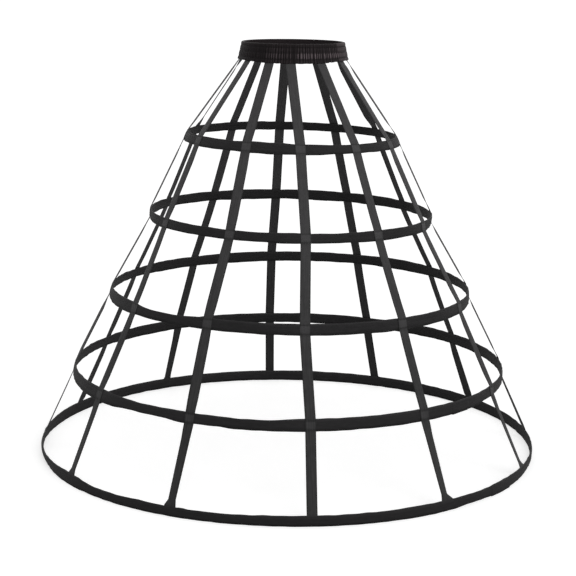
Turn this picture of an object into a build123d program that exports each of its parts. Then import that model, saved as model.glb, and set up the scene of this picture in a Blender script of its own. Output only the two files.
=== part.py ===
from build123d import *
from math import cos, pi, radians, sin
import os

# Crinoline cage: five sprung steel hoops in fabric casings, hung on twelve tapes from a
# gathered elastic waistband. Millimetres, +Z up, front towards -Y. The origin is the middle
# of the cage on the surface that it stands on. Angles go round from the front towards +X.

# Hoops, from the top one down: outside diameter of each fabric casing
hoop_1_diameter = 448.0
hoop_2_diameter = 598.0
hoop_3_diameter = 764.0
hoop_4_diameter = 920.0
hoop_5_diameter = 1060.0

# Heights between the middles of neighbouring hoops, and from the top one to the waistband
hoop_5_to_4 = 165.0
hoop_4_to_3 = 168.0
hoop_3_to_2 = 162.5
hoop_2_to_1 = 164.5
hoop_1_to_waist = 162.5

# A hoop is a ring of short flats, a whole number of them from tape to tape, so that every
# tape and every joiner lies on a flat one.
flat_length = 33.0

# Steel bone and the sleeve that joins its two ends
bone_width = 12.0
bone_thickness = 1.0
bone_end_gap = 1.5
joiner_length = 24.0
joiner_wall = 0.35
joiner_fit = 0.05

# Fabric casing: a flat tube with the bone in its channel, its ends lapped over the joiner.
# The lower a hoop, the fuller its casing, but for the bottom one.
casing_heights = [20.5, 21.5, 23.0, 24.5, 22.5]
casing_wall = 0.7
channel_clearance = 0.2
lap_length = 60.0
lap_thickness = 0.6

# Tapes
tape_count = 12
tape_width = 20.0
tape_thickness = 0.6
tape_clearance = 0.2
tape_tail = 11.0
tape_tuck = 16.0
first_tape_angle = 5.0

# Waistband: a gathered casing that flares downwards, measured over the ridges of its gathers
waist_top_diameter = 216.0
waist_bottom_diameter = 232.0
waistband_height = 36.5
waist_wall = 1.0
waist_lining = 0.9
ruffle_height = 5.5
gathers_per_bay = 10
gather_depth = 2.2
seam_pinch = 0.8
smooth_stretches = [(-95.0, -31.0), (55.0, 95.0)]
smooth_fullness = 0.3
elastic_width = 25.0
elastic_thickness = 1.2
elastic_clearance = 0.3

# Places of the hoop joints, in bays from the first tape round
joint_place = [6.5, 5.4, 7.5, 1.4, 1.6]

bay_angle = 360 / tape_count
hoop_radius = [
    d / 2
    for d in (hoop_1_diameter, hoop_2_diameter, hoop_3_diameter, hoop_4_diameter, hoop_5_diameter)
]
bottom_hoop = len(hoop_radius) - 1
hoop_5_z = casing_heights[bottom_hoop] / 2
hoop_4_z = hoop_5_z + hoop_5_to_4
hoop_3_z = hoop_4_z + hoop_4_to_3
hoop_2_z = hoop_3_z + hoop_3_to_2
hoop_1_z = hoop_2_z + hoop_2_to_1
hoop_z = [hoop_1_z, hoop_2_z, hoop_3_z, hoop_4_z, hoop_5_z]
waist_z = hoop_1_z + hoop_1_to_waist

joiner_skin = joiner_fit + joiner_wall
tape_room = tape_thickness + 2 * tape_clearance
bone_channel = bone_thickness + 2 * joiner_skin + 2 * channel_clearance
channel_height = bone_width + 2 * joiner_skin + 2 * channel_clearance


def flats_round(radius, length):
    """How many flats of about this length go round, as a whole number for each bay."""
    return tape_count * max(1, round(2 * pi * radius / tape_count / length))


def ring_outline(flat_radius, flats, mode=Mode.ADD):
    """Sketch of a ring of flats, with the middle of one of them at the first tape."""
    turn = first_tape_angle - 90 - 180 / flats
    RegularPolygon(flat_radius, flats, major_radius=False, rotation=turn, mode=mode)


def radial_plane(angle):
    """Upright plane through the middle of the cage: x is the distance out, y is the height."""
    a = radians(angle)
    return Plane(origin=(0, 0, 0), x_dir=(sin(a), -cos(a), 0), z_dir=(-cos(a), -sin(a), 0))


def flat_plane(angle, radius, height):
    """Plane that lies on a ring's flat: x runs along the hoop, y is up, z points outwards."""
    a = radians(angle)
    out = Vector(sin(a), -cos(a), 0)
    return Plane(origin=out * radius + Vector(0, 0, height), x_dir=(cos(a), sin(a), 0), z_dir=out)


def extra_room(hoop):
    """The tapes' ends are sewn into the bottom hoop's casing, so its channel holds them too."""
    return tape_room if hoop == bottom_hoop else 0


def joint_angle(hoop):
    """Middle of the flat that is nearest to the joint's place."""
    flats_per_bay = flats_round(hoop_radius[hoop], flat_length) // tape_count
    flat = round(joint_place[hoop] * flats_per_bay)
    return first_tape_angle + bay_angle * flat / flats_per_bay


def tape_angles():
    return [first_tape_angle + bay_angle * i for i in range(tape_count)]


def bone_outer_radius(hoop):
    return hoop_radius[hoop] - casing_wall - extra_room(hoop) - channel_clearance - joiner_skin


# Straight strips, seen from the side: a list of (distance out, height) along the inner face


def strip_outline(inner_face, thickness):
    outer_face = [(r + thickness, z) for r, z in reversed(inner_face)]
    Polygon(*inner_face, *outer_face, align=None)


# Waistband profile: each radius follows the band's slope


def waist_ridge(z):
    slope = (waist_top_diameter - waist_bottom_diameter) / 2 / waistband_height
    return waist_bottom_diameter / 2 + slope * (z - waist_z)


def pocket_outer(z):
    return waist_ridge(z) - gather_depth - waist_wall


def tape_inner_at_waist(z):
    return pocket_outer(z) - tape_clearance - tape_thickness


def elastic_outer(z):
    return tape_inner_at_waist(z) - tape_clearance


def pocket_inner(z):
    return elastic_outer(z) - elastic_thickness - elastic_clearance


def waist_inner(z):
    return pocket_inner(z) - waist_lining


pocket_bottom = waist_z + ruffle_height
pocket_top = pocket_bottom + elastic_width + 2 * elastic_clearance
waist_top = waist_z + waistband_height
waist_flats = flats_round(waist_inner(waist_z), tape_width)


def gather_outline(ridge):
    """Ridges and valleys by turns, deeper and shallower in slow waves round the waist.

    Every row has the same outline at its own size, so that each fold's sides are flat.
    """
    gathers = gathers_per_bay * tape_count
    points = []
    for i in range(2 * gathers):
        a = 180 * i / gathers
        fullness = 0.8 + 0.2 * sin(radians(5 * a))
        if any(start < (a + 180) % 360 - 180 < end for start, end in smooth_stretches):
            fullness = smooth_fullness
        depth = gather_depth * fullness * ridge / waist_ridge(waist_z)
        r = ridge - (depth if i % 2 else 0)
        points.append((r * sin(radians(a)), -r * cos(radians(a))))
    Polygon(*points, align=None)


def make_waistband():
    middle = (pocket_bottom + pocket_top) / 2
    with BuildPart() as waistband:
        # Pinched in along its two rows of stitches, and full between and beyond them
        for z in (waist_z, pocket_bottom, middle, pocket_top, waist_top):
            pinch = seam_pinch if z in (pocket_bottom, pocket_top) else 0
            with BuildSketch(Plane.XY.offset(z)):
                gather_outline(waist_ridge(z) - pinch)
        loft(ruled=True)
        # The opening for the body
        for z in (waist_z, waist_top):
            with BuildSketch(Plane.XY.offset(z)):
                ring_outline(waist_inner(z), waist_flats)
        loft(ruled=True, mode=Mode.SUBTRACT)
        # The pocket for the elastic
        for z in (pocket_bottom, pocket_top):
            with BuildSketch(Plane.XY.offset(z)):
                ring_outline(pocket_outer(z), waist_flats)
                ring_outline(pocket_inner(z), waist_flats, Mode.SUBTRACT)
        loft(ruled=True, mode=Mode.SUBTRACT)
        # The slits through the lower edge that the tapes come out of
        slit_ends = (waist_z - ruffle_height, pocket_bottom + elastic_clearance)
        slit = [(tape_inner_at_waist(z) - tape_clearance, z) for z in slit_ends]
        for angle in tape_angles():
            with BuildSketch(radial_plane(angle)):
                strip_outline(slit, tape_room)
        extrude(amount=tape_width / 2 + tape_clearance, both=True, mode=Mode.SUBTRACT)
    return waistband.part


def make_elastic():
    low = pocket_bottom + elastic_clearance
    with BuildPart() as elastic:
        for z in (low, low + elastic_width):
            with BuildSketch(Plane.XY.offset(z)):
                ring_outline(elastic_outer(z), waist_flats)
                ring_outline(elastic_outer(z) - elastic_thickness, waist_flats, Mode.SUBTRACT)
        loft(ruled=True)
    return elastic.part


def make_casing(hoop):
    radius, z, height = hoop_radius[hoop], hoop_z[hoop], casing_heights[hoop]
    flats = flats_round(radius, flat_length)
    channel_outer = radius - casing_wall
    channel_inner = channel_outer - extra_room(hoop) - bone_channel
    with BuildPart() as casing:
        with BuildSketch(Plane.XY.offset(z - height / 2)):
            ring_outline(radius, flats)
            ring_outline(channel_inner - casing_wall, flats, Mode.SUBTRACT)
        extrude(amount=height)
        with BuildSketch(Plane.XY.offset(z - channel_height / 2)):
            ring_outline(channel_outer, flats)
            ring_outline(channel_inner, flats, Mode.SUBTRACT)
        extrude(amount=channel_height, mode=Mode.SUBTRACT)
        # The casing's own end, lapped over its beginning: the stretch of one more layer that a
        # square over the joint picks out
        with BuildSketch(Plane.XY.offset(z - height / 2)):
            ring_outline(radius + lap_thickness, flats)
            ring_outline(channel_outer, flats, Mode.SUBTRACT)
            with PolarLocations(radius, 1, start_angle=joint_angle(hoop) - 90):
                Rectangle(lap_length, lap_length, mode=Mode.INTERSECT)
        extrude(amount=height)
        # Slits through the upper edge of the bottom casing, where the tapes go in
        if hoop == bottom_hoop:
            for angle in tape_angles():
                with BuildSketch(radial_plane(angle)):
                    with Locations((channel_outer - tape_room / 2, z + height / 2)):
                        Rectangle(tape_room, height - channel_height)
            extrude(amount=tape_width / 2 + tape_clearance, both=True, mode=Mode.SUBTRACT)
    return casing.part


def make_bone(hoop):
    z = hoop_z[hoop]
    flats = flats_round(hoop_radius[hoop], flat_length)
    outer = bone_outer_radius(hoop)
    with BuildPart() as bone:
        with BuildSketch(Plane.XY.offset(z - bone_width / 2)):
            ring_outline(outer, flats)
            ring_outline(outer - bone_thickness, flats, Mode.SUBTRACT)
        extrude(amount=bone_width)
        # The gap between its two ends
        with BuildSketch(flat_plane(joint_angle(hoop), outer - bone_thickness / 2, z)):
            Rectangle(bone_end_gap, 2 * bone_width)
        extrude(amount=bone_thickness, both=True, mode=Mode.SUBTRACT)
    return bone.part


def make_joiner(hoop):
    middle = (bone_outer_radius(hoop) - bone_thickness / 2, hoop_z[hoop])
    with BuildPart() as joiner:
        with BuildSketch(radial_plane(joint_angle(hoop))):
            with Locations(middle):
                Rectangle(bone_thickness + 2 * joiner_skin, bone_width + 2 * joiner_skin)
                Rectangle(
                    bone_thickness + 2 * joiner_fit, bone_width + 2 * joiner_fit, mode=Mode.SUBTRACT
                )
        extrude(amount=joiner_length / 2, both=True)
    return joiner.part


def make_tape(angle):
    """One strip from the waistband to the bottom hoop, flat on the outside of each hoop between."""
    tape_top = pocket_bottom + tape_tuck
    path = [(tape_inner_at_waist(z), z) for z in (tape_top, waist_z)]
    for radius, z, height in zip(hoop_radius[:bottom_hoop], hoop_z, casing_heights):
        path.append((radius + tape_clearance, z + height / 2))
        path.append((radius + tape_clearance, z - height / 2))
    mouth = hoop_z[bottom_hoop] + casing_heights[bottom_hoop] / 2
    tail_radius = hoop_radius[bottom_hoop] - casing_wall - tape_clearance - tape_thickness
    path.append((tail_radius, mouth))
    path.append((tail_radius, mouth - tape_tail))
    with BuildPart() as tape:
        with BuildSketch(radial_plane(angle)):
            strip_outline(path, tape_thickness)
        extrude(amount=tape_width / 2, both=True)
    return tape.part


pieces = {"waistband": make_waistband(), "waist_elastic": make_elastic()}
for number, angle in enumerate(tape_angles(), start=1):
    pieces[f"tape_{number:02d}"] = make_tape(angle)
for hoop in range(len(hoop_radius)):
    pieces[f"hoop_{hoop + 1}_casing"] = make_casing(hoop)
    pieces[f"hoop_{hoop + 1}_bone"] = make_bone(hoop)
    pieces[f"hoop_{hoop + 1}_joiner"] = make_joiner(hoop)

os.makedirs("parts", exist_ok=True)
for name, piece in pieces.items():
    piece.label = name
    export_step(piece, f"parts/{name}.step")
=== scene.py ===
import math

import bpy
import numpy as np
from mathutils import Matrix, Vector


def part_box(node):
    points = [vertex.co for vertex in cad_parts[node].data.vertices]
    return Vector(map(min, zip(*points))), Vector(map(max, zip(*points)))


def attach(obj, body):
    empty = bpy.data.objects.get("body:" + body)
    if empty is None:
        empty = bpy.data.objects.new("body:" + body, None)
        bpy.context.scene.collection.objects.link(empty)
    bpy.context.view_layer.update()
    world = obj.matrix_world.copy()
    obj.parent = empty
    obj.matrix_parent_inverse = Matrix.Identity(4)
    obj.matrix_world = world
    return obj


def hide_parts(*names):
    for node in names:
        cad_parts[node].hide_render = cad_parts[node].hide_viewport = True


# Crinoline cage. Lengths in this script are millimetres, and METRES turns them into Blender's.
# Angles are degrees, counted from the front (-Y) towards +X, as in the frame.

METRES = 0.001

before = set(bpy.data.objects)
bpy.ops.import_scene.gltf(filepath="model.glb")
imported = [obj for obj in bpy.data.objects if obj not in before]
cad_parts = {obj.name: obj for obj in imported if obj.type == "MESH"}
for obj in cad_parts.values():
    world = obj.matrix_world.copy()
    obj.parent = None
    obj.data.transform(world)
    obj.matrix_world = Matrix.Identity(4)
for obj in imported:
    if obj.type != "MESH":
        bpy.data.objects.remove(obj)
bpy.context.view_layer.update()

HOOPS = range(1, 6)
TAPES = range(1, 13)
BOTTOM = HOOPS[-1]
FIRST_TAPE_ANGLE = 5.0
BAY_ANGLE = 360.0 / len(TAPES)

# Cloth tube of a hoop, measured from its middle line: the seams are the rows of stitches
CASING_DEPTH = 3.6
BOTTOM_CASING_DEPTH = 4.6
SEAM_DEPTH = 1.7
FOLD_DEPTH = 2.1
SEAM_FROM_MIDDLE = 8.2
CLOTH_EDGE = 0.9
CLOTH_THICKNESS = 0.6
LAP_SLOPE = 1.2
FLOOR_CLEARANCE = 0.3
CASING_STEP = 3.5
CASING_POINTS = 22

# Steel strip and the sleeve over its ends. In the bottom casing they lie further in, behind the
# ends of the tapes.
STEEL_HALF_WIDTH = 6.0
STEEL_HALF_DEPTH = 0.5
STEEL_EDGE = 0.4
STEEL_GAP = 1.5
STEEL_SECTIONS = 181
STEEL_POINTS = 8
CHANNEL_CLEARANCE = 0.2
SLEEVE_LENGTH = 24.0
SLEEVE_HALF_WIDTH = 6.4
SLEEVE_HALF_DEPTH = 0.9
SLEEVE_EDGE = 0.5
SLEEVE_FIT = 0.05
SLEEVE_SECTIONS = 9
BOTTOM_STEEL_INWARDS = 0.5

# Stitches: their pitches, the share of the pitch that a stitch is long, the thread, and how far the
# thread's middle lies off the cloth
STITCH_PITCH = 4.0
TAPE_STITCH_PITCH = 2.6
WAIST_STITCH_PITCH = 3.0
STITCH_SHARE = 0.8
THREAD = 0.5
STITCH_LIFT = 0.1
WAIST_STITCH_LIFT = 0.15

# Sections of one stitch: places along it as shares of its length, and lifts and half widths as
# shares of the thread
SECTION_PLACES = (-0.5, -0.3, 0.3, 0.5)
SECTION_LIFTS = (-0.55, 0.15, 0.15, -0.55)
SECTION_SIZES = (0.3, 0.55, 0.55, 0.3)

# Unevenness of the casings: slow waves and their least length, puckers at the stitches, curled
# edges and waves along the edges
SLOW_WAVE_LENGTH = 75.4
SLOW_WAVE_HEIGHT = 0.1
PUCKER_HEIGHT = 0.1
CURL_HEIGHT = 0.35
EDGE_WAVE_HEIGHT = 0.16

# Slack stretch on the top hoop: its middle, how far to each side it is full and where it ends, and
# its slanting wrinkles
SLACK_MIDDLE, SLACK_FULL, SLACK_END = -11.0, 8.0, 17.0
WRINKLE_PITCH = 11.0
WRINKLE_SLANT = 1.2
WRINKLE_HEIGHT = 0.5

# Tape
TAPE_WIDTH = 20.8
TAPE_THICKNESS = 0.6
TAPE_EDGE = 0.4
TAPE_CLEARANCE = 0.2
TAPE_TAIL = 11.0
TAPE_CURL = 0.8
TAPE_STEP = 6.0
TAPE_POINTS = 16
TAPE_STITCH_MARGIN = 1.2

# Tape on a casing: how far from the middle it is flat over the steel, how far past the lower seam
# it leaves the cloth, how far it stands off the upper edge, and how far out its end lies in the
# bottom casing
FLAT_OVER_STEEL = 5.0
PAST_SEAM = 0.8
OFF_EDGE = 0.15
TAIL_OUT = 0.8

# Its creases at the seams, where shade is painted on the tape: how far out they lie and how wide
# they are
CREASE_OUT = 1.7
CREASE_WIDTH = 1.5

# Tape between hoops: it runs free from so far below a hoop's middle, its turn fades over so much
# before the next hoop or before the bottom casing, and its foot has this height
FREE_BELOW = 11.0
TURN_FADE = 30.0
MOUTH_FADE = 10.0
TURN_AT_TOP = 0.35
FOOT_HEIGHT = 12.0

# Pitches at which the weaves are drawn; the tape's ribs and the twill are coarser than life
TAPE_RIB = 1.6
TAPE_PICK = 0.9
TWILL = 1.4
SATIN_THREAD = 0.9
ELASTIC_RIB = 1.5

# Light: the white surroundings' share that falls on things, and the floor's own glow to the camera
WORLD_LIGHT = 0.55
FLOOR_GLOW = 0.58
FLOOR_HALF_SIZE = 200.0

# Waistband, over the tops of its gathers; heights are from its lower edge
WAIST_TOP_RIDGE = 108.0
WAIST_BOTTOM_RIDGE = 116.0
WAIST_DEPTH = 6.6
WAIST_SEAMS = (7.5, 19.0, 29.5)
WAIST_HANG = 3.0
WAIST_POINTS = 24
GATHERS = 126
SECTIONS_PER_GATHER = 11
TAPE_INSIDE_RIDGE = 4.0

# Its form: how much of its height its edges round off over, how far the ridges' line lies outside
# it, the seams' pinch, the ruffle's free height, flare and waves, and the joins across it
WAIST_ROUNDING = 0.08
RIDGE_INSET = 0.4
PINCH_DEPTH, PINCH_WIDTH = 0.9, 1.3
RUFFLE_HEIGHT, RUFFLE_FLARE, RUFFLE_WAVE = 7.0, 0.8, 0.35
JOIN_DEPTH = 1.2
LEFT_JOIN, LEFT_JOIN_WIDTH = -31.0, 0.5
FRONT_JOIN, FRONT_JOIN_WIDTH = 0.0, 0.6

# Its gathers: the power that rounds a fold, how far their phase wanders all over and in each row,
# in radians, and the mean, spread and limits of their size
FOLD_POWER = 0.7
WANDER, ROW_WANDER = 0.8, 0.6
SIZE_MEAN, SIZE_SPREAD, SIZE_LIMITS = 0.8, 0.25, (0.3, 1.3)

# Its folds in the lower row, the upper row, the ruffle and the hem: how deep they are and how
# strong a highlight is painted on them
GATHER_DEPTH = (2.4, 1.6, 1.5, 0.5)
GATHER_PAINTED_LIGHT = (1.15, 0.4, 0.35, 0.15)

# Where it is nearly smooth: the angles at which each stretch starts, is full, starts to end, ends;
# and how far the patch stands out
WAIST_TAUT = (-95, -92, -33, -30)
WAIST_PATCH = (54, 56, 92, 96)
PATCH_RISE = 0.5

# The photograph's view, fitted to the hoops as level circles: metres, degrees, and Blender's lens
CAMERA_PLACE = (-0.0041, -3.345, 1.03945)
CAMERA_DOWN = 11.72
CAMERA_ROLL = 0.75
CAMERA_LENS = 99.3

# How long each casing's lap is, and how much lower than the rest of its edge it hangs
LAP_LENGTH = {1: 34.0, 2: 34.0, 3: 40.0, 4: 52.0, 5: 76.0}
LAP_DROP = {1: 0.5, 2: 0.5, 3: 0.8, 4: 1.0, 5: 3.0}

# How far a casing leans, its lower edge outwards, in front, on the right, behind and on the left
LEAN = {
    1: (22, 26, 22, 24),
    2: (4, -8, 4, 3),
    3: (5, 3, 5, 15),
    4: (5, 0, 5, 12),
    5: (-5, -3, -5, 6),
}

# How much lower than level a hoop hangs: all round, on the right, in front, and twisted
SAG = {
    1: (0.0, 3.2, 0.3, 0.0),
    2: (0.6, 3.2, 0.3, 0.0),
    3: (0.5, 0.3, 0.8, 1.6),
    4: (0.4, 0.0, 0.5, 0.0),
}

# How much further out than round it is: in front, on the right, behind and on the left
BULGE = {3: (0, 1.5, 0, 1.5), 4: (0, 0, 0, 2.5), 5: (3.5, -1.0, -2.0, 4.0)}

# How much more a casing leans where a tape, stitched over it, pulls it into the tape's own slope,
# and the angles of the tapes that do
CROSSING_LEAN = {1: 0, 2: 16, 3: 9, 4: 10, 5: 0}
CROSSINGS = (5, 35, 65, 125, 155, 185, 215, 245, 305, 335)
CROSSING_HALF_WIDTH = 7.0

# Where it rolls by itself: middle and half width of the place, and the lean it adds
ROLLS = {
    2: [(100, 8, 12)],
    3: [(102, 10, 10)],
    5: [(-73, 9, -16), (30, 6, 8), (55, 8, 10), (250, 13, -15)],
}

# Where a casing is wider or narrower: middle and half width of the place, rise of the upper edge
# and drop of the lower one. It is full up to the first share of its half width and gone at the
# second.
SWELL_FULL, SWELL_GONE = 0.4, 1.3
SWELLS = {
    1: [
        (-84, 12, 2.0, 0.5), (-50, 14, 1, 1), (-14, 15, 2.4, 1.6), (10, 9, 0, 1.6),
        (34, 22, -1, -0.5),
    ],
    2: [(-45, 16, -0.2, -1.6), (-18, 14, -1.2, -1.2), (16, 12, -1.2, -0.8), (182, 45, 0.0, 2.0)],
    3: [
        (-66, 12, 1.4, 1.6), (-42, 12, -4.2, 0), (44, 24, 0.4, 0.8), (135, 12, 0.8, 1),
        (205, 28, 0.8, 1.2),
    ],
    4: [
        (-62, 12, 1.4, 1), (-37, 10, -0.8, -4.6), (-20, 6, -1.6, -2.4), (-8, 8, -3, -0.2),
        (22, 20, 0.8, -0.4), (66, 10, -0.2, -3.0), (126, 13, 1.8, -0.4), (228, 15, 0, 1.5),
    ],
    5: [
        (-56, 5, 2.2, 1.6), (-51, 1, 1, 0.5), (-42, 8, -3.6, 0.4), (-22, 1, 1, 0.4),
        (-20, 14, -2.4, 0), (20, 20, 0.2, 0.6), (45, 6, -0.4, -1.4), (155.5, 1, 1.2, 0.4),
        (180, 80, 2.0, 0),
    ],
}

# How far each tape lies to the side of its even place, at the waistband and at each hoop
TAPE_DRIFT = {
    1: (-15.0, -2.5, 3.5, -4.0, 2.0, 0.0),
    2: (-9.0, -1.0, 3.0, 2.5, 0.0, 2.0),
    3: (-6.0, -5.0, 3.5, 3.5, -0.5, 6.0),
    5: (-8.0, -1.0, -7.0, -10.0, -4.0, 3.5),
    6: (0.0, 0.0, -2.5, 3.0, 7.0, 9.0),
    7: (6.0, 8.0, 8.5, 11.5, 8.0, 1.0),
    8: (8.0, 3.0, 4.5, 6.5, 2.0, -5.0),
    9: (14.0, 9.0, 3.0, 0.0, -4.0, 5.0),
    11: (-1.0, -12.5, -19.0, 1.0, -4.0, 3.5),
    12: (0.0, 4.5, 7.0, 2.0, 6.0, 3.5),
}

# How far a tape is turned about its own line in each of the five stretches, in degrees. In the last
# one the turn grows from about a third of that down to the bottom casing.
TAPE_TURN = {
    2: (0, 0, 0, 0, 20),
    3: (0, -5, -3, -5, 9),
    4: (-12, -12, -12, -12, 8),
    5: (30, 0, 0, 0, 18),
    8: (0, -4, 0, 0, 15),
    9: (20, 0, 0, -4, -8),
    10: (3, 3, 3, 12, 1),
    11: (0, 4, 0, 4, -8),
    12: (4, 10, 12, 14, -20),
}

# How far a tape spreads where it goes into the bottom casing, to its left and right
TAPE_FOOT = {2: (0.5, 8.0), 3: (0.5, 5.0), 11: (3.0, 3.0), 12: (3.0, 1.0)}


def box_mm(node):
    """Lowest and highest corner of a node."""
    low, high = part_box(node)
    return np.array(low) / METRES, np.array(high) / METRES


BOXES = {name: box_mm(name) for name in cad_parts}
WAIST_HEIGHT = (BOXES["waistband"][1] - BOXES["waistband"][0])[2]


def hoop_radius(hoop):
    """Radius over the outside of the casing."""
    return BOXES[f"hoop_{hoop}_casing"][1][0]


def hoop_middle(hoop):
    """Height of the casing's middle line above the floor."""
    low, high = BOXES[f"hoop_{hoop}_casing"]
    return (low[2] + high[2]) / 2


def hoop_half_height(hoop):
    """Half the casing's width from edge to edge."""
    low, high = BOXES[f"hoop_{hoop}_casing"]
    return (high[2] - low[2]) / 2


def lap_angle(hoop):
    """The lap is over the sleeve that joins the steel's two ends."""
    low, high = BOXES[f"hoop_{hoop}_joiner"]
    x, y = (low + high)[:2]
    return math.degrees(math.atan2(x, -y))


def casing_depth(hoop):
    """Thickness of the casing over its steel; the bottom one also holds the tapes' ends."""
    return BOTTOM_CASING_DEPTH if hoop == BOTTOM else CASING_DEPTH


def around(values, angle):
    """Value at an angle, from those in front, on the right, behind and on the left.

    Each counts by the squared cosine of the distance from its side, up to a quarter turn.
    """
    front, right, behind, left = values
    ahead, aside = np.cos(angle), np.sin(angle)
    return (
        front * np.maximum(ahead, 0) ** 2
        + right * np.maximum(aside, 0) ** 2
        + behind * np.maximum(-ahead, 0) ** 2
        + left * np.maximum(-aside, 0) ** 2
    )


def outward(angle):
    """Level direction away from the middle of the cage, at each angle in radians."""
    return np.stack([np.sin(angle), -np.cos(angle), np.zeros_like(angle)], -1)


def sideways(angle):
    """Level direction along a hoop, towards larger angles, at each angle in radians."""
    return np.stack([np.cos(angle), np.sin(angle), np.zeros_like(angle)], -1)


def smooth_step(x, start, end):
    """0 before start and 1 after end, with an S curve between: 3 t squared less 2 t cubed."""
    t = np.clip((x - start) / (end - start), 0, 1)
    return t * t * (3 - 2 * t)


def plateau(x, start, full, fall, end):
    """1 from full to fall and 0 before start and after end, with S curves between."""
    return smooth_step(x, start, full) * (1 - smooth_step(x, fall, end))


def bump(x, middle, width):
    """Bell curve of height 1: e to minus the square of the distance over the width."""
    return np.exp(-(((x - middle) / width) ** 2))


def angle_between(angle, middle):
    """Signed distance from the middle, in radians, the shorter way round."""
    return (angle - math.radians(middle) + math.pi) % (2 * math.pi) - math.pi


def ripple(x, low, high, count, seed):
    """Sum of sine waves of whole numbers of cycles from low to high per turn, with drawn phases.

    It closes on itself after a turn of x, and its usual size is about 1.
    """
    draw = np.random.default_rng(seed)
    cycles = draw.integers(low, high + 1, count)
    phases = draw.uniform(0, 2 * math.pi, count)
    waves = np.sin(x[..., None] * cycles + phases)
    return waves.sum(-1) * math.sqrt(2 / count)


def flat_loop(half_width, half_depth, edge, count):
    """Outline of a flat strip, once round: across is the half width times the sine of the turn.

    Out is plus or minus the half depth, a number or a function of across, rounded off as a quarter
    ellipse over the last bit before each edge.
    """
    turn = np.linspace(-math.pi / 2, 3 * math.pi / 2, 2 * count, endpoint=False)
    across = half_width * np.sin(turn)
    depth = half_depth(across) if callable(half_depth) else half_depth
    past = np.clip(np.abs(across) - (half_width - edge), 0, edge) / edge
    side = np.where(np.arange(2 * count) < count, 1.0, -1.0)
    return across, side * depth * np.sqrt(1 - past**2)


def grid_mesh(name, points, along, across, material, closed, ridge=None):
    """Mesh through a grid of points: rows follow the length, columns go once round a section.

    Its UV map, Cloth, holds the distance along and across in millimetres. An open strip is closed
    by a face over each end. Where `ridge` is given, a point attribute holds the light and shade
    painted on the cloth, from 0, darkest, to 1, lightest.
    """
    rows, columns = points.shape[:2]
    i = np.arange(rows if closed else rows - 1)[:, None]
    j = np.arange(columns)[None, :]
    i, j = np.broadcast_arrays(i, j)
    i_next, j_next = (i + 1) % rows, (j + 1) % columns
    quads = np.stack(
        [i * columns + j, i_next * columns + j, i_next * columns + j_next, i * columns + j_next], -1
    )
    u = np.stack([along[i], along[i + 1], along[i + 1], along[i]], -1)
    v = np.stack([across[j], across[j], across[j_next], across[j_next]], -1)
    uv = np.stack([u, v], -1).reshape(-1, 2)
    faces = quads.reshape(-1, 4).tolist()
    if not closed:
        first = np.arange(columns)
        last = (rows - 1) * columns + first[::-1]
        faces += [first.tolist(), last.tolist()]
        start = np.stack([np.full(columns, along[0]), across], -1)
        end = np.stack([np.full(columns, along[-1]), across[::-1]], -1)
        uv = np.concatenate([uv, start, end])
    piece = finished_mesh(name, points.reshape(-1, 3), faces, uv, material)
    if ridge is not None:
        # point attribute of painted light and shade, read by the tape and satin materials
        height = piece.data.attributes.new("PaintedLight", "FLOAT", "POINT")
        height.data.foreach_set("value", ridge.astype(np.float32).ravel())
    return piece


def finished_mesh(name, points, faces, uv, material):
    """Smooth mesh object at the origin, from points in mm, with its UV map and one material."""
    mesh = bpy.data.meshes.new(name)
    mesh.from_pydata(points * METRES, [], faces)
    mesh.uv_layers.new(name="Cloth").uv.foreach_set("vector", uv.astype(np.float32).ravel())
    mesh.polygons.foreach_set("use_smooth", np.ones(len(mesh.polygons), bool))
    mesh.materials.append(material)
    mesh.validate()
    mesh.update()
    piece = bpy.data.objects.new(name, mesh)
    bpy.context.scene.collection.objects.link(piece)
    return piece


def on_the_cage(piece, slot, *nodes):
    """The piece belongs to the one body and stands for those nodes, which are hidden; the slot is
    not used.
    """
    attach(piece, "root")
    if nodes:
        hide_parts(*nodes)
    return piece


def thread_mesh(name, middles, along, out, pitch, material):
    """One stitch at each middle: a thread that rises from the cloth, runs along it and dives back.

    A stitch is a bent bar with three points to a section. Each section has its place along the
    stitch, its lift off the cloth and its size, and a small face closes each end.
    """
    places = np.array(SECTION_PLACES) * STITCH_SHARE * pitch
    lifts = np.array(SECTION_LIFTS) * THREAD
    sizes = np.array(SECTION_SIZES) * THREAD
    side = np.cross(out, along)
    turn = np.arange(3) * 2 * math.pi / 3 + math.pi / 2
    points = (
        middles[:, None, None]
        + along[:, None, None] * places[None, :, None, None]
        + side[:, None, None] * (sizes[:, None] * np.cos(turn))[None, :, :, None]
        + out[:, None, None] * (lifts[:, None] + sizes[:, None] * np.sin(turn))[None, :, :, None]
    )
    span, corner = np.meshgrid(np.arange(3), np.arange(3), indexing="ij")
    after = (corner + 1) % 3
    here, there = span * 3, span * 3 + 3
    bar = np.stack([here + corner, here + after, there + after, there + corner], -1).reshape(-1, 4)
    ends = np.array([(2, 1, 0), (9, 10, 11)])
    first = places.size * turn.size * np.arange(len(middles))[:, None, None]
    faces = (bar + first).reshape(-1, 4).tolist() + (ends + first).reshape(-1, 3).tolist()
    uv = np.zeros((sum(map(len, faces)), 2))
    return finished_mesh(name, points.reshape(-1, 3), faces, uv, material)


# Materials

EASED = {"interpolation_type": "SMOOTHSTEP"}


def linear(hex_colour):
    """sRGB hex to the linear colour that Blender reads."""
    parts = [int(hex_colour[k : k + 2], 16) / 255 for k in (1, 3, 5)]
    return [p / 12.92 if p <= 0.04045 else ((p + 0.055) / 1.055) ** 2.4 for p in parts] + [1.0]


def add(tree, kind, inputs=None, out=0, **settings):
    """Adds one node with its settings; each named input gets a value or the output linked to it.

    It gives back the node's output of that name or number.
    """
    node = tree.nodes.new("ShaderNode" + kind)
    for name, value in settings.items():
        setattr(node, name, value)
    for name, value in (inputs or {}).items():
        if isinstance(value, bpy.types.NodeSocket):
            tree.links.new(value, node.inputs[name])
        else:
            node.inputs[name].default_value = value
    return node.outputs[out] if node.outputs else None


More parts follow.
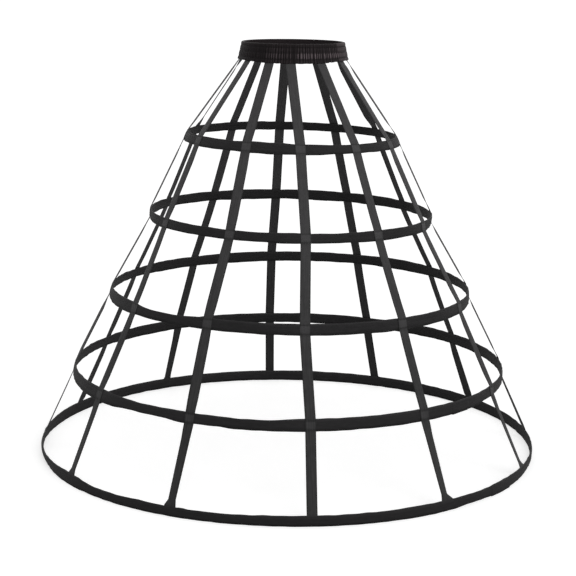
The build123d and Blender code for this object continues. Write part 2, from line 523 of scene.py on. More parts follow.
def new_material(name):
    """An empty material and its tree of nodes."""
    material = bpy.data.materials.new(name)
    material.use_nodes = True
    material.node_tree.nodes.clear()
    return material, material.node_tree


def finish_material(tree, tone, dark, light, roughness, height, lift, **shader):
    """Shader from the dark to the light colour by tone, with a bump from a height of `lift` mm."""
    colour = add(tree, "Mix", {0: tone, 6: linear(dark), 7: linear(light)}, 2, data_type="RGBA")
    relief = add(tree, "Bump", {"Height": height, "Distance": lift * METRES, "Strength": 1.0})
    inputs = {"Base Color": colour, "Roughness": roughness, "Normal": relief}
    inputs.update({name.replace("_", " "): value for name, value in shader.items()})
    add(tree, "OutputMaterial", {"Surface": add(tree, "BsdfPrincipled", inputs)})


def ribs(tree, distance, pitch):
    """0 to 1 and back every `pitch` mm of that distance: half of one plus a sine."""
    turn = add(tree, "Math", {0: distance, 1: 2 * math.pi / pitch}, operation="MULTIPLY")
    wave = add(tree, "Math", {0: turn}, operation="SINE")
    return add(tree, "Math", {0: wave, 1: 0.5, 2: 0.5}, operation="MULTIPLY_ADD")


def cloth_place(tree):
    """Place on the cloth in mm, and its two distances, along and across, from the UV map."""
    place = add(tree, "UVMap", uv_map="Cloth")
    return place, *(add(tree, "SeparateXYZ", {0: place}, axis) for axis in "XY")


def streaks(tree, place, length, width, detail=3.0):
    """Noise drawn out along the cloth, with spots about length by width mm."""
    drawn = add(tree, "Mapping", {"Vector": place, "Scale": (1 / length, 1 / width, 1.0)})
    return add(tree, "TexNoise", {"Vector": drawn, "Scale": 1.0, "Detail": detail})


def weighted(tree, *pairs):
    """Sum of each value times its weight."""
    total = 0.0
    for value, weight in pairs:
        total = add(tree, "Math", {0: value, 1: weight, 2: total}, operation="MULTIPLY_ADD")
    return total


def ribbed_tape():
    """Polyester tape, woven with ribs along its length and a flat, even selvedge.

    The ribs catch the light as fine grey lines along the tape and the selvedge is denser and
    darker.
    Shade is painted in the creases at the stitches and a highlight where the tape bulges over a
    steel, and the tape is painted darker further down from the waist, as shade. The ribs' real
    pitch is about 0.8 mm; they are drawn at 1.6 mm, the finest that shows.
    """
    material, tree = new_material("woven_polyester_tape")
    place, along, across = cloth_place(tree)
    rib = ribs(tree, across, TAPE_RIB)
    pick = ribs(tree, along, TAPE_PICK)
    streak = streaks(tree, place, 70.0, 2.4)
    mottle = streaks(tree, place, 14.0, 9.0)
    from_middle = add(tree, "Math", {0: across}, operation="ABSOLUTE")
    selvedge = add(tree, "MapRange", {0: from_middle, 1: 7.5, 2: 10.0}, **EASED)
    # painted shade: the tape darkens further down from the waist
    deep = add(tree, "MapRange", {0: along, 1: 150.0, 2: 900.0}, **EASED)
    # painted light and shade along the tape: shade in the creases, a highlight over each steel
    ridge = add(tree, "Attribute", attribute_name="PaintedLight", out="Fac")
    uneven = weighted(tree, (rib, 0.16), (streak, 0.75), (mottle, 0.35))
    tone = weighted(tree, (uneven, 1.0), (selvedge, -0.35), (deep, -0.38), (ridge, 0.6))
    tone = add(tree, "Math", {0: tone, 1: 0.3}, operation="SUBTRACT")
    weave = weighted(tree, (rib, 1.0), (pick, 0.35))
    roughness = weighted(tree, (streak, 0.15), (0.5, 1.0))
    satin = {"Sheen_Weight": 0.04, "Sheen_Roughness": 0.4, "Specular_IOR_Level": 0.16}
    finish_material(tree, tone, "#171717", "#464546", roughness, weave, 0.12, **satin)
    return material


def casing_cloth():
    """Woven cotton and polyester casing, pressed flat and topstitched.

    A fine slanting twill, with lighter streaks along it. A highlight is painted along the upper
    fold, where the light from above falls, and shade along the lower fold. The twill's real pitch
    is about
    0.5 mm; it is drawn at 1.4 mm, the finest that shows.
    """
    material, tree = new_material("woven_casing_cloth")
    place, along, across = cloth_place(tree)
    slant = add(tree, "Math", {0: along, 1: across}, operation="ADD")
    twill = ribs(tree, slant, TWILL)
    streak = streaks(tree, place, 55.0, 1.7)
    mottle = streaks(tree, place, 18.0, 7.0)
    # painted highlight along the upper fold and painted shade along the lower fold
    painted_fold_highlight = add(tree, "MapRange", {0: across, 1: 7.6, 2: 9.6}, **EASED)
    painted_fold_shade = add(tree, "MapRange", {0: across, 1: -7.0, 2: -9.6}, **EASED)
    tone = weighted(
        tree, (twill, 0.1), (streak, 0.7), (mottle, 0.35), (painted_fold_highlight, 1.1), (painted_fold_shade, -0.3)
    )
    roughness = weighted(tree, (streak, 0.15), (0.55, 1.0))
    matt = {"Sheen_Weight": 0.02, "Sheen_Roughness": 0.5, "Specular_IOR_Level": 0.12}
    finish_material(tree, tone, "#050505", "#2c2b2c", roughness, twill, 0.1, **matt)
    return material


def gathered_cloth():
    """Thin polyester satin, gathered: near black with a brown cast, with a highlight painted along
    the tops of its folds and shade in its creases.
    """
    material, tree = new_material("gathered_polyester_satin")
    place, _, across = cloth_place(tree)
    ridge = add(tree, "Attribute", attribute_name="PaintedLight", out="Fac")
    thread = ribs(tree, across, SATIN_THREAD)
    mottle = streaks(tree, place, 5.0, 9.0, 4.0)
    # painted highlight on the fold tops, from the point attribute of painted light
    bright = add(tree, "Math", {0: ridge, 1: 1.6}, operation="POWER")
    tone = weighted(tree, (bright, 1.25), (mottle, 0.12), (thread, 0.03))
    roughness = weighted(tree, (mottle, 0.2), (0.42, 1.0))
    satin = {"Specular_IOR_Level": 0.05}
    finish_material(tree, tone, "#070505", "#5c5356", roughness, thread, 0.05, **satin)
    return material


def sewing_thread():
    """Spun polyester thread: a tight twist with a soft shine."""
    material, tree = new_material("polyester_sewing_thread")
    place = add(tree, "TexCoord", out="Object")
    twist = add(tree, "TexNoise", {"Vector": place, "Scale": 900.0})
    finish_material(tree, twist, "#0a0a0a", "#201f20", 0.5, twist, 0.05, Specular_IOR_Level=0.15)
    return material


def coated_steel():
    """Spring steel strip in a white nylon coat, extruded on: smooth, with a faint pull along it."""
    material, tree = new_material("nylon_coated_spring_steel")
    place = cloth_place(tree)[0]
    pull = streaks(tree, place, 40.0, 0.8)
    roughness = weighted(tree, (pull, 0.2), (0.3, 1.0))
    finish_material(tree, pull, "#d9d8d3", "#e8e7e3", roughness, pull, 0.03)
    return material


def pressed_steel():
    """Thin steel sleeve, cut and pressed: bright, with fine lines along it."""
    material, tree = new_material("pressed_steel")
    place = cloth_place(tree)[0]
    lines = streaks(tree, place, 12.0, 0.5, 4.0)
    roughness = weighted(tree, (lines, 0.25), (0.25, 1.0))
    finish_material(tree, lines, "#8b8d90", "#b4b6b8", roughness, lines, 0.02, Metallic=1.0)
    return material


def knitted_elastic():
    """Warp-knitted elastic: ribs of rubber along it, crossed by the knit, in matt white yarn."""
    material, tree = new_material("knitted_elastic")
    place = add(tree, "TexCoord", out="Object")
    height = add(tree, "SeparateXYZ", {0: place}, "Z")
    rib = ribs(tree, height, ELASTIC_RIB * METRES)
    knit = add(tree, "TexNoise", {"Vector": place, "Scale": 700.0, "Detail": 2.0})
    relief = weighted(tree, (rib, 0.7), (knit, 0.3))
    finish_material(tree, relief, "#a9a7a1", "#e2e0da", 0.8, relief, 0.2)
    return material


# Hoops


def casing_half_depth(hoop):
    """Half the depth of a casing at a distance from its middle line.

    Full over the steel, thin at the row of stitches, and a little thicker at the folded edge.
    """
    full, seam, fold = casing_depth(hoop) / 2, SEAM_DEPTH / 2, FOLD_DEPTH / 2

    def half_depth(across):
        away = np.abs(across)
        into_seam = smooth_step(away, STEEL_HALF_WIDTH, SEAM_FROM_MIDDLE)
        into_fold = smooth_step(away, SEAM_FROM_MIDDLE, SEAM_FROM_MIDDLE + CLOTH_EDGE)
        return full + (seam - full) * into_seam + (fold - seam) * into_fold

    return half_depth


def lean_of(hoop, angle):
    """Lean in radians: that of its side of the hoop, and bell curves at crossings and rolls."""
    bells = [(crossing, CROSSING_HALF_WIDTH, CROSSING_LEAN[hoop]) for crossing in CROSSINGS]
    lean = around(LEAN[hoop], angle)
    for middle, width, more in bells + ROLLS.get(hoop, []):
        lean = lean + more * bump(np.degrees(angle_between(angle, middle)), 0, width)
    return np.radians(lean)


def on_hoop(hoop, angle, up, out):
    """Distance out and height of a place on a hoop, `up` and `out` from its leaning middle line.

    Out times the cosine of the lean, less up times its sine, goes outwards; up times the cosine,
    plus out times the sine, goes upwards, less the sag: a constant and waves of one and two turns.
    """
    lean = lean_of(hoop, angle)
    low, aside, ahead, twisted = SAG.get(hoop, (0, 0, 0, 0))
    sag = low + aside * np.sin(angle) + ahead * np.cos(angle) + twisted * np.sin(2 * angle)
    bulge = around(BULGE.get(hoop, (0, 0, 0, 0)), angle)
    middle = hoop_radius(hoop) + bulge - casing_depth(hoop) / 2
    r = middle + out * np.cos(lean) - up * np.sin(lean)
    z = hoop_middle(hoop) - sag + up * np.cos(lean) + out * np.sin(lean)
    return r, np.maximum(z, 0.0)


def in_the_round(r, angle, z):
    """Points at a distance out, an angle in radians and a height."""
    points = r[..., None] * outward(angle)
    points[..., 2] = z
    return points


def lap_height(hoop, angle):
    """1 on the casing's lapped end and 0 off it, in radians round the hoop."""
    half = LAP_LENGTH[hoop] / 2 / hoop_radius(hoop)
    slope = LAP_SLOPE / hoop_radius(hoop)
    away = np.abs(angle_between(angle, lap_angle(hoop)))
    return 1 - smooth_step(away, half - slope, half)


def slow_waves(hoop):
    """How many of the shortest slow waves fit round a casing."""
    return int(2 * math.pi * hoop_radius(hoop) / SLOW_WAVE_LENGTH)


def casing_edge(hoop, angle, side):
    """Distance from the middle line to the upper edge (side 1) or the lower one (side -1).

    Half the casing's height, with its swells, the drop of its lap and small drawn waves.
    """
    waves = ripple(angle, 6, 2 * slow_waves(hoop), 14, seed=10 * hoop + side)
    edge = hoop_half_height(hoop) + EDGE_WAVE_HEIGHT * waves
    for middle, half_width, rise, drop in SWELLS[hoop]:
        away = np.degrees(np.abs(angle_between(angle, middle)))
        swell = 1 - smooth_step(away, SWELL_FULL * half_width, SWELL_GONE * half_width)
        edge = edge + (rise if side > 0 else drop) * swell
    if side < 0:
        edge = edge + LAP_DROP[hoop] * lap_height(hoop, angle)
        edge = edge - (FLOOR_CLEARANCE if hoop == BOTTOM else 0.0)
    return edge


def stretched(hoop, angle, across):
    """The distance up at a distance across: what lies past the steel is drawn to the local edge."""
    steel, half = STEEL_HALF_WIDTH + CHANNEL_CLEARANCE, hoop_half_height(hoop)
    edge = np.where(across > 0, casing_edge(hoop, angle, 1), casing_edge(hoop, angle, -1))
    on_steel, past = np.minimum(np.abs(across), steel), np.maximum(np.abs(across) - steel, 0)
    return np.sign(across) * (on_steel + past * (edge - steel) / (half - steel))


def casing_surface(hoop, angle, across, out):
    """Points of a casing: a flat loop carried round its leaning hoop.

    Slow waves move the cloth in and out, the free edges curl, small puckers lie between stitches,
    and the lapped end is raised by one more layer on the outside. On the top hoop's front left the
    cloth is slack and has slanting wrinkles: a sine of the distance along plus 1.2 times across.
    """
    half, waves = hoop_half_height(hoop), slow_waves(hoop)
    a = angle[:, None]
    slow = ripple(a, 5, waves, 9, seed=10 * hoop + 5)
    curl = ripple(a, waves // 2, 3 * waves, 12, seed=10 * hoop + 6)
    pucker = ripple(a, 6 * waves, 14 * waves, 16, seed=10 * hoop + 7)
    outer = (out > 0)[None, :]
    by_seam = bump(np.abs(across), SEAM_FROM_MIDDLE, 2.0)[None, :]
    flange = np.clip((np.abs(across) - SEAM_FROM_MIDDLE) / (half - SEAM_FROM_MIDDLE), 0, 1)[None, :]
    lift = out[None, :] + SLOW_WAVE_HEIGHT * slow + PUCKER_HEIGHT * pucker * by_seam
    lift = lift + CURL_HEIGHT * curl * flange**1.5 + CLOTH_THICKNESS * lap_height(hoop, a) * outer
    if hoop == HOOPS[0]:
        from_slack = np.degrees(angle_between(a, SLACK_MIDDLE))
        slack = plateau(from_slack, -SLACK_END, -SLACK_FULL, SLACK_FULL, SLACK_END)
        place = a * hoop_radius(hoop) + WRINKLE_SLANT * across[None, :]
        wrinkle = 0.6 + np.sin(place * 2 * math.pi / WRINKLE_PITCH + 1.5 * slow)
        from_edge = np.sqrt(1 - (across / half) ** 2)[None, :]
        lift = lift + WRINKLE_HEIGHT * slack * wrinkle * outer * from_edge
    up = stretched(hoop, a, across[None, :])
    r, z = on_hoop(hoop, a, up, lift)
    return in_the_round(r, a, z)


def hoop_stitches(hoop, row, face):
    """Middles, directions and outs of one row of stitches, all round one face of a casing."""
    count = int(2 * math.pi * hoop_radius(hoop) / STITCH_PITCH)
    angle = np.arange(count) * 2 * math.pi / count
    lap = lap_height(hoop, angle) * (face > 0)
    out = face * (SEAM_DEPTH / 2 + STITCH_LIFT) + CLOTH_THICKNESS * lap
    up = stretched(hoop, angle, np.full(count, row * SEAM_FROM_MIDDLE))
    r, z = on_hoop(hoop, angle, up, out)
    middles = in_the_round(r, angle, z)
    lean = lean_of(hoop, angle)[:, None]
    outs = face * (np.cos(lean) * outward(angle) + np.sin(lean) * np.array([0, 0, 1.0]))
    return middles, sideways(angle), outs


def steel_place(hoop, angle, across, out):
    """Points of a flat loop carried round a leaning hoop as it is."""
    a = angle[:, None] + 0 * across[None, :]
    inwards = BOTTOM_STEEL_INWARDS if hoop == BOTTOM else 0.0
    r, z = on_hoop(hoop, a, across[None, :], out[None, :] - inwards)
    return in_the_round(r, a, z)


def make_casing(hoop, cloth, thread):
    """The cloth tube, with a section at each end of the lap's steps, and its rows of stitches."""
    radius, lap = hoop_radius(hoop), math.radians(lap_angle(hoop))
    sections = int(2 * math.pi * radius / CASING_STEP)
    even = lap + np.linspace(0, 2 * math.pi, sections, endpoint=False)
    half, slope = LAP_LENGTH[hoop] / 2 / radius, LAP_SLOPE / radius
    steps = np.array([half - slope, half, 2 * math.pi - half, 2 * math.pi - half + slope])
    angle = np.unique(np.concatenate([even, lap + steps]))
    size = hoop_half_height(hoop), casing_half_depth(hoop)
    across, out = flat_loop(*size, CLOTH_EDGE, CASING_POINTS)
    points = casing_surface(hoop, angle, across, out)
    along = radius * np.append(angle - lap, 2 * math.pi)
    casing = grid_mesh(f"hoop_{hoop}_cloth_casing", points, along, across, cloth, closed=True)
    on_the_cage(casing, "casing_fabric", f"hoop_{hoop}_casing")

    rows = [hoop_stitches(hoop, row, face) for row in (-1, 1) for face in (-1, 1)]
    middles, directions, outs = (np.concatenate(parts) for parts in zip(*rows))
    name = f"hoop_{hoop}_topstitching"
    stitches = thread_mesh(name, middles, directions, outs, STITCH_PITCH, thread)
    on_the_cage(stitches, "casing_fabric")
    return casing


def make_steel(hoop, steel, sleeve):
    """The steel strip, with a small gap between its ends, and the sleeve that is over them."""
    radius, lap = hoop_radius(hoop), math.radians(lap_angle(hoop))
    gap = STEEL_GAP / 2 / radius
    angle = lap + np.linspace(gap, 2 * math.pi - gap, STEEL_SECTIONS)
    across, out = flat_loop(STEEL_HALF_WIDTH, STEEL_HALF_DEPTH, STEEL_EDGE, STEEL_POINTS)
    points = steel_place(hoop, angle, across, out)
    along = radius * (angle - lap)
    strip = grid_mesh(f"hoop_{hoop}_steel_strip", points, along, across, steel, closed=False)
    on_the_cage(strip, "coated_steel", f"hoop_{hoop}_bone")

    length = np.linspace(-SLEEVE_LENGTH / 2, SLEEVE_LENGTH / 2, SLEEVE_SECTIONS)
    across, out = flat_loop(SLEEVE_HALF_WIDTH, SLEEVE_HALF_DEPTH, SLEEVE_EDGE, STEEL_POINTS)
    bore = STEEL_HALF_WIDTH + SLEEVE_FIT, STEEL_HALF_DEPTH + SLEEVE_FIT
    across_in, out_in = flat_loop(*bore, STEEL_EDGE, STEEL_POINTS)
    outside = steel_place(hoop, lap + length / radius, across, out)
    inside = steel_place(hoop, lap + length[::-1] / radius, across_in, out_in)
    along = np.concatenate([length, SLEEVE_LENGTH + length, [2 * SLEEVE_LENGTH]])
    points = np.concatenate([outside, inside])
    joiner = grid_mesh(f"hoop_{hoop}_steel_sleeve", points, along, across, sleeve, closed=True)
    on_the_cage(joiner, "plain_steel", f"hoop_{hoop}_joiner")


# Tapes


def tape_path(number, angle):
    """Distance out and height of the knots of a tape's middle line, from the waistband down.

    It is straight between hoops. Over each casing it lies on the two rows of stitches and goes out
    over the steel between them, and at the bottom it ends inside the casing.
    """
    waist_low, waist_high = BOXES["waistband"]
    slope = (WAIST_TOP_RIDGE - WAIST_BOTTOM_RIDGE) / (waist_high[2] - waist_low[2])
    top = BOXES[f"tape_{number:02d}"][1][2]
    middle = TAPE_THICKNESS / 2
    at_waist = WAIST_BOTTOM_RIDGE - TAPE_INSIDE_RIDGE + middle
    knots = [(at_waist + slope * (top - waist_low[2]), top), (at_waist, waist_low[2])]
    for hoop in HOOPS:
        half = hoop_half_height(hoop)
        over_steel = casing_depth(hoop) / 2 + TAPE_CLEARANCE + middle
        over_seam = SEAM_DEPTH / 2 + THREAD + middle
        places = [
            (half, over_seam + OFF_EDGE),
            (SEAM_FROM_MIDDLE, over_seam),
            (FLAT_OVER_STEEL, over_steel),
            (-FLAT_OVER_STEEL, over_steel),
            (-SEAM_FROM_MIDDLE - PAST_SEAM, over_seam),
        ]
        if hoop == BOTTOM:
            mouth = [(half, 0.0), (SEAM_FROM_MIDDLE, 0.0)]
            places = mouth + [(FLAT_OVER_STEEL, TAIL_OUT), (half - TAPE_TAIL, TAIL_OUT)]
        knots += [on_hoop(hoop, angle, up, out) for up, out in places]
    return np.array(knots)


def denser(knots, step):
    """Points along straight runs between the knots, about `step` mm apart, the knots among them."""
    length = np.concatenate([[0], np.cumsum(np.hypot(*np.diff(knots, axis=0).T))])
    runs = [
        np.linspace(a, b, max(2, int((b - a) / step) + 1), endpoint=False)
        for a, b in zip(length[:-1], length[1:])
    ]
    s = np.concatenate(runs + [[length[-1]]])
    return s, np.interp(s, length, knots[:, 0]), np.interp(s, length, knots[:, 1])


def tape_levels():
    """Heights at which a tape's place is set: the waistband's lower edge and each hoop's middle."""
    return [BOXES["waistband"][0][2]] + [hoop_middle(hoop) for hoop in HOOPS]


def tape_turn(number, z):
    """How far a tape is turned about its own line, in radians, and where it runs free, 0 to 1.

    The turn is even along a stretch and fades to none in the last 30 mm before each hoop, but only
    in the last 10 mm before it goes into the bottom casing.
    """
    levels = tape_levels()
    turn, free = np.zeros_like(z), np.zeros_like(z)
    for k, degrees in enumerate(TAPE_TURN.get(number, (0,) * len(HOOPS))):
        start = levels[k] - (0.0 if k == 0 else FREE_BELOW)
        last = k == len(HOOPS) - 1
        end = levels[k + 1] + hoop_half_height(k + 1)
        fade = MOUTH_FADE if last else TURN_FADE
        along = smooth_step(start - z, 0, TURN_FADE) * smooth_step(z - end, 0, fade)
        share = TURN_AT_TOP + (1 - TURN_AT_TOP) * (start - z) / (start - end) if last else 1.0
        turn += math.radians(degrees) * along * share
        free += along
    return turn, free


def tape_drift(number):
    """How far a tape lies to the side of its even place at each of its levels."""
    return np.array(TAPE_DRIFT.get(number, (0,) * (len(HOOPS) + 1)), float)


def tape_places(number, x, face, s, r, z, angle):
    """Points at x to the side of a tape's middle line and `face` out from it, at each row.

    The row's own turn carries x and face round its line, and the sideways part is bent round the
    cage, so that the tape lies flat on the hoops.
    """
    shift = np.interp(-z, -np.array(tape_levels()), tape_drift(number))[:, None]
    down = np.stack([np.gradient(r, s), np.gradient(z, s)], -1)
    down /= np.linalg.norm(down, axis=1, keepdims=True)
    turn = tape_turn(number, z)[0][:, None]
    off = face * np.cos(turn) - x * np.sin(turn)
    aside = shift + x * np.cos(turn) + face * np.sin(turn)
    out = r[:, None] - off * down[:, 1:]
    height = z[:, None] + off * down[:, :1]
    return in_the_round(out, angle + aside / r[:, None], np.maximum(height, 0.0))


def tape_painted_light(z, angle):
    """Light and shade painted down a tape's length: even, a painted highlight over a steel, and
    painted shade in the creases at the two seams.
    """
    ridge = np.full_like(z, 0.5)
    seams = (SEAM_FROM_MIDDLE, -SEAM_FROM_MIDDLE)
    for hoop in HOOPS[:-1]:
        upper, lower = (on_hoop(hoop, angle, up, CREASE_OUT)[1] for up in seams)
        creases = bump(z, upper, CREASE_WIDTH) + bump(z, lower, CREASE_WIDTH)
        # painted highlight between the seams, over the steel, and painted shade in the creases
        ridge += 0.25 * ((z < upper) & (z > lower)) - 0.5 * creases
    return np.clip(ridge, 0, 1)


def make_tape(number, cloth, thread):
    """A thin flat loop carried down the tape's path, and the stitches that hold it to each hoop.

    Where it runs free its edges curl in by the sixth power of the distance from its middle, and
    where it goes into the bottom casing it spreads.
    """
    angle = math.radians(FIRST_TAPE_ANGLE + BAY_ANGLE * (number - 1))
    s, r, z = denser(tape_path(number, angle), TAPE_STEP)
    free = tape_turn(number, z)[1][:, None]
    half = TAPE_WIDTH / 2
    across, out = flat_loop(half, TAPE_THICKNESS / 2, TAPE_EDGE, TAPE_POINTS)
    curl = -TAPE_CURL * free * (np.abs(across) / half)[None, :] ** 6
    left, right = TAPE_FOOT.get(number, (0, 0))
    mouth = hoop_middle(BOTTOM) + hoop_half_height(BOTTOM)
    foot = (1 - smooth_step(z, mouth, mouth + FOOT_HEIGHT))[:, None]
    x = across[None, :] * (1 + foot * np.where(across < 0, left, right)[None, :] / half)
    points = tape_places(number, x, out[None, :] + curl, s, r, z, angle)
    ridge = tape_painted_light(z, angle)[:, None] + 0 * x
    name = f"tape_{number:02d}_woven"
    tape = grid_mesh(name, points, s, across, cloth, closed=False, ridge=ridge)
    on_the_cage(tape, "woven_tape", f"tape_{number:02d}")

    count = int((TAPE_WIDTH - 2 * TAPE_STITCH_MARGIN) / TAPE_STITCH_PITCH)
    x = (np.arange(count) - (count - 1) / 2) * TAPE_STITCH_PITCH
    on_tape = SEAM_DEPTH / 2 + THREAD + TAPE_THICKNESS + STITCH_LIFT
    places, outs = [], []
    for hoop in HOOPS[:-1]:
        for up in (SEAM_FROM_MIDDLE, -SEAM_FROM_MIDDLE):
            row_r, row_z = on_hoop(hoop, angle, up, on_tape)
            a = angle + (tape_drift(number)[hoop] + x) / row_r
            places.append(in_the_round(row_r + 0 * a, a, row_z))
            outs.append(outward(a))
    places, outs = np.concatenate(places), np.concatenate(outs)
    along = np.stack([-outs[:, 1], outs[:, 0], 0 * outs[:, 0]], -1)
    name = f"tape_{number:02d}_stitching"
    stitches = thread_mesh(name, places, along, outs, TAPE_STITCH_PITCH, thread)
    on_the_cage(stitches, "woven_tape")


# Waistband


def waist_surface(angle, h):
    """Distance out of the waistband's outside, and the light and shade painted on its folds, 0 to
    1.

    It is the band's sloping line, less the pinch at the three seams, less the depth of a gather
    where its wave is low. The wave is a power of a cosine's size, so that folds are round outside
    and sharp between. Its phase runs evenly round, plus slow drawn waves, and the upper and lower
    gathers have their own. From the top there are a smooth hem, short folds, longer and deeper
    folds, and a ruffle. A highlight is painted on the tops of the folds and shade in the creases
    and at the seams and joins; on the deeper folds the painted highlight is stronger on the right
    of the front, where the light falls.
    """
    ruffle_seam, middle_seam, hem_seam = WAIST_SEAMS
    ruffle = 1 - smooth_step(h, ruffle_seam - 1, ruffle_seam + 1)
    lower = (1 - ruffle) * (1 - smooth_step(h, middle_seam - 1, middle_seam + 1))
    hem = smooth_step(h, hem_seam - 1, hem_seam + 1)
    rows = (lower, 1 - ruffle - lower - hem, ruffle, hem)
    pinch = sum(bump(h, seam, PINCH_WIDTH) for seam in WAIST_SEAMS)
    wander = ripple(angle, 3, 30, 12, seed=501)
    wander_low = ripple(angle, 20, 60, 12, seed=502)
    wander_high = ripple(angle, 20, 60, 12, seed=503)
    wander_row = np.where(h < middle_seam, wander_low, wander_high)
    phase = GATHERS * angle + WANDER * wander + ROW_WANDER * wander_row
    fold = np.abs(np.cos(phase / 2)) ** FOLD_POWER
    from_front = np.degrees(angle_between(angle, 0))
    taut, patch = plateau(from_front, *WAIST_TAUT), plateau(from_front, *WAIST_PATCH)
    size = SIZE_MEAN + SIZE_SPREAD * ripple(angle, 10, 70, 14, seed=504)
    size = np.clip(size, *SIZE_LIMITS)
    size = size * (1 - 0.7 * taut) * (1 - 0.8 * patch)
    depth = size * sum(deep * row for deep, row in zip(GATHER_DEPTH, rows))
    join = bump(from_front, LEFT_JOIN, LEFT_JOIN_WIDTH)
    join = join + bump(from_front, FRONT_JOIN, FRONT_JOIN_WIDTH) * (1 - hem)
    up = h / WAIST_HEIGHT
    ridge = WAIST_BOTTOM_RIDGE + (WAIST_TOP_RIDGE - WAIST_BOTTOM_RIDGE) * up
    flare = RUFFLE_FLARE * ruffle * (1 - np.minimum(h, RUFFLE_HEIGHT) / RUFFLE_HEIGHT) ** 2
    out = ridge - RIDGE_INSET - PINCH_DEPTH * pinch - depth * (1 - fold)
    out = out + PATCH_RISE * patch + flare - JOIN_DEPTH * join
    # painted highlight, stronger on the right of the front, where the light falls
    shine = 0.55 + 0.45 * smooth_step(from_front, -5, 12)
    light = sum(share * row for share, row in zip(GATHER_PAINTED_LIGHT, (shine * lower, *rows[1:])))
    # painted highlight on the fold tops, painted shade in the creases and at the pinched seams; the
    # patch and hem a little lighter
    lit = fold**3 * light * (1 - 0.7 * pinch)
    lit = lit * np.clip(size, 0, 1) + 0.4 * patch * (1 - pinch) + 0.08 * hem
    # painted shade at the joins across the band
    return out, np.clip(lit * (1 - 0.6 * np.clip(join, 0, 1)), 0, 1)


def waist_height(angle, h):
    """Height above the floor: the front of the lower edge hangs lower, and the ruffle is wavy."""
    ahead = smooth_step(np.cos(angle), 0.5, 1.0)
    hang = WAIST_HANG * ahead * (1 - smooth_step(h, 0, 14))
    free = 1 - smooth_step(h, 0, RUFFLE_HEIGHT)
    wave = RUFFLE_WAVE * ripple(angle, 12, 60, 10, seed=505) * free
    return BOXES["waistband"][0][2] + np.clip(h + wave, 0.0, WAIST_HEIGHT) - hang


def make_waistband(cloth, thread):
    """A gathered tube of cloth round the waist, with three rows of stitches."""
    sections = SECTIONS_PER_GATHER * GATHERS
    angle = np.linspace(0, 2 * math.pi, sections, endpoint=False)
    turn = np.linspace(-math.pi / 2, 3 * math.pi / 2, 2 * WAIST_POINTS, endpoint=False)
    up = (1 + np.sin(turn)) / 2
    outer = (np.arange(2 * WAIST_POINTS) < WAIST_POINTS)[None, :]
    a, h = angle[:, None] + 0 * up, up[None, :] * WAIST_HEIGHT
    r_out, lit = waist_surface(a, h)
    r_in = WAIST_BOTTOM_RIDGE + (WAIST_TOP_RIDGE - WAIST_BOTTOM_RIDGE) * up[None, :] - WAIST_DEPTH
    r_in = r_in + 0.2 * ripple(a, 3, 30, 12, seed=501)
    past = (np.abs(2 * up - 1) - 1) / WAIST_ROUNDING + 1
    edge = np.sqrt(1 - np.clip(past, 0, 1) ** 2)[None, :]
    r = (r_out + r_in) / 2 + np.where(outer, 1, -1) * edge * (r_out - r_in) / 2
    points = in_the_round(r, a, waist_height(a, h))
    along = np.linspace(0, 2 * math.pi * WAIST_BOTTOM_RIDGE, sections + 1)
    # painted light and shade on the outside, an even 0.2 on the inside
    shown = np.where(outer, lit, 0.2)
    band = grid_mesh("waistband_gathered", points, along, h[0], cloth, closed=True, ridge=shown)
    on_the_cage(band, "gathered_satin", "waistband")

    count = int(2 * math.pi * WAIST_BOTTOM_RIDGE / WAIST_STITCH_PITCH)
    a = np.tile(np.arange(count) * 2 * math.pi / count, len(WAIST_SEAMS))
    h = np.repeat(WAIST_SEAMS, count)
    r = waist_surface(a, h)[0] + WAIST_STITCH_LIFT
    places, directions, outs = in_the_round(r, a, waist_height(a, h)), sideways(a), outward(a)
    name = "waistband_stitching"
    stitches = thread_mesh(name, places, directions, outs, WAIST_STITCH_PITCH, thread)
    on_the_cage(stitches, "gathered_satin")


# Camera, lights and floor


def make_camera():
    """The photograph's view, fitted to the hoops as level circles."""
    data = bpy.data.cameras.new("camera")
    data.sensor_width = 36.0
    data.lens = CAMERA_LENS
    data.clip_end = 500.0
    camera = bpy.data.objects.new("camera", data)
    bpy.context.scene.collection.objects.link(camera)
    tilt = Matrix.Rotation(math.radians(90 - CAMERA_DOWN), 4, "X")
    roll = Matrix.Rotation(math.radians(CAMERA_ROLL), 4, "Z")
    camera.matrix_world = Matrix.Translation(CAMERA_PLACE) @ tilt @ roll
    bpy.context.scene.camera = camera


def make_sun(name, azimuth, height, strength, spread):
    """Broad soft light from far off: azimuth counted as on the cage, height above the floor."""
    data = bpy.data.lights.new(name, "SUN")
    data.energy = strength
    data.angle = math.radians(spread)
    lamp = bpy.data.objects.new(name, data)
    bpy.context.scene.collection.objects.link(lamp)
    away, up = math.radians(azimuth), math.radians(height)
    level = math.cos(up)
    direction = Vector((level * math.sin(away), -level * math.cos(away), math.sin(up)))
    lamp.rotation_euler = direction.to_track_quat("Z", "Y").to_euler()


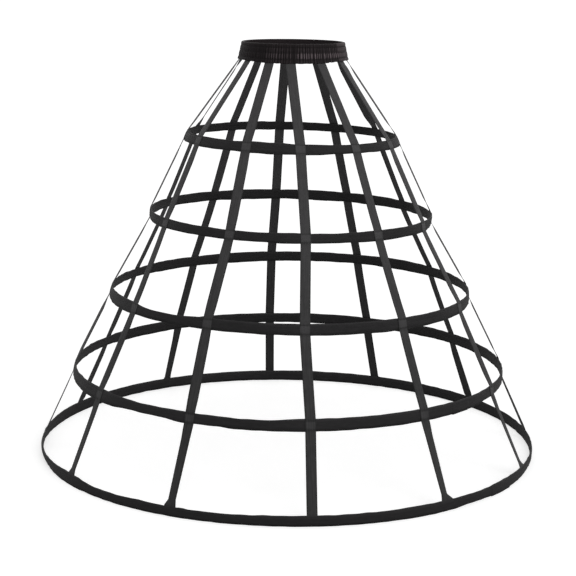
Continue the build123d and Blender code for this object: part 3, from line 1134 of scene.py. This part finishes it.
def make_stage():
    """Pale floor that shows white to the camera and keeps the cage's shadow, and a white world."""
    world = bpy.data.worlds.new("studio")
    bpy.context.scene.world = world
    world.use_nodes = True
    tree = world.node_tree
    tree.nodes.clear()
    seen = 0.0
    for kind in ("Is Camera Ray", "Is Glossy Ray", "Is Transmission Ray"):
        ray = add(tree, "LightPath", out=kind)
        seen = add(tree, "Math", {0: ray, 1: seen}, operation="MAXIMUM")
    lit = {0: seen, 1: 1.0 - WORLD_LIGHT, 2: WORLD_LIGHT}
    strength = add(tree, "Math", lit, operation="MULTIPLY_ADD")
    sky = add(tree, "Background", {"Color": (1, 1, 1, 1), "Strength": strength})
    add(tree, "OutputWorld", {"Surface": sky})
    material, tree = new_material("painted_studio_floor")
    paint = add(tree, "BsdfDiffuse", {"Color": linear("#d8d8d8"), "Roughness": 0.0})
    seen = add(tree, "LightPath", out="Is Camera Ray")
    glow = add(tree, "Math", {0: seen, 1: FLOOR_GLOW}, operation="MULTIPLY")
    lift = add(tree, "Emission", {"Color": (1, 1, 1, 1), "Strength": glow})
    add(tree, "OutputMaterial", {"Surface": add(tree, "AddShader", {0: paint, 1: lift})})
    half = FLOOR_HALF_SIZE
    mesh = bpy.data.meshes.new("floor")
    corners = [(-half, -half, 0), (half, -half, 0), (half, half, 0), (-half, half, 0)]
    mesh.from_pydata(corners, [], [(0, 1, 2, 3)])
    mesh.materials.append(material)
    floor = bpy.data.objects.new("floor", mesh)
    bpy.context.scene.collection.objects.link(floor)


tape_cloth, hoop_cloth, waist_cloth = ribbed_tape(), casing_cloth(), gathered_cloth()
thread, steel, sleeve, elastic = sewing_thread(), coated_steel(), pressed_steel(), knitted_elastic()
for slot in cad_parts["waist_elastic"].material_slots:
    slot.material = elastic

for hoop in HOOPS:
    make_casing(hoop, hoop_cloth, thread)
    make_steel(hoop, steel, sleeve)
for number in TAPES:
    make_tape(number, tape_cloth, thread)
make_waistband(waist_cloth, thread)

make_camera()
make_sun("key", 20.0, 50.0, 0.45, 30.0)
make_sun("fill", 45.0, 14.0, 1.1, 60.0)
make_stage()
scene = bpy.context.scene
scene.view_settings.view_transform = "Standard"
